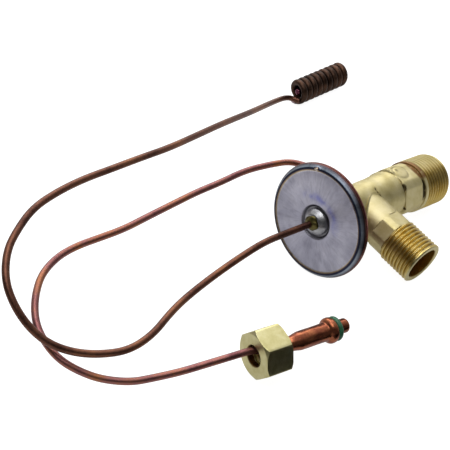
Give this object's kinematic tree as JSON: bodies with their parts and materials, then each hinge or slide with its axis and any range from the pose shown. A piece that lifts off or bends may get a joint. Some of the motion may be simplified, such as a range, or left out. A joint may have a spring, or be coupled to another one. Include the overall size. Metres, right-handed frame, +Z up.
{
  "type": "refrigerant expansion valve with sensing coil",
  "caption": "Angle refrigerant expansion valve: brass body with two threaded ports, round diaphragm head, coiled sensing bulb on a capillary, and a looped equaliser tube with a union nut.",
  "frame": {"origin": "on the floor, under the middle of the whole object as it lies", "axes": "+Z up; +X along the valve's main axis seen from above, from the diaphragm head towards the outlet, which is also the longest way; +Y towards the sensing coil"},
  "size_m": [0.2266, 0.1251, 0.0487],
  "materials": {
    "forged_brass": "satin forged and machined brass",
    "cover_steel": "stainless steel with heat tint and radial scratches",
    "cover_lower_steel": "stainless steel with a copper flash at the weld",
    "spring_steel": "bright spring steel",
    "boss_steel": "dark turned steel",
    "braze_gold": "braze filler",
    "braze_silver": "silver solder",
    "copper_dark": "oxidised copper tube",
    "copper_pink": "copper tube, less oxidised",
    "copper_bright": "drawn copper with a satin face",
    "copper_bulb": "dark oxidised copper coil",
    "copper_tail": "plum-tinted copper",
    "nut_brass": "extruded hexagon brass",
    "seal_green": "nitrile rubber",
    "seal_black": "nitrile rubber",
    "screen_mesh": "woven stainless mesh"
  },
  "bodies": {
    "valve": {"valve_body": "forged_brass", "upper_cover": "cover_steel", "lower_cover": "cover_lower_steel", "diaphragm": "spring_steel", "capillary_boss": "boss_steel", "capillary_braze": "braze_gold", "push_rod_seal": "seal_black", "seal_retainer": "nut_brass", "orifice_seat": "spring_steel", "superheat_spring": "spring_steel", "adjusting_nut": "nut_brass", "strainer_ring": "nut_brass", "strainer_screen": "screen_mesh", "sensing_bulb": "copper_bulb", "bulb_tail": "copper_tail", "bulb_collar": "braze_silver", "equaliser_braze": "braze_silver", "equaliser_fitting": "copper_bright", "equaliser_oring": "seal_green", "capillary_tube": "copper_dark", "equaliser_tube": "copper_pink"},
    "stem": {"push_rod": "spring_steel", "valve_ball": "spring_steel", "ball_carrier": "nut_brass", "diaphragm_pad": "spring_steel"},
    "union_nut": {"equaliser_nut": "nut_brass"}
  },
  "joints": [
    {"name": "stem_slide", "type": "slide", "parent": "valve", "child": "stem", "axis": [0.9864, 0, -0.1645], "range_m": [0, 0.0008], "stiffness_N_per_m": 1500, "deforming": ["superheat_spring"]},
    {"name": "union_nut_slide", "type": "slide", "parent": "valve", "child": "union_nut", "axis": [0.9759, -0.1915, -0.1045], "range_m": [0, 0.0235]}
  ]
}
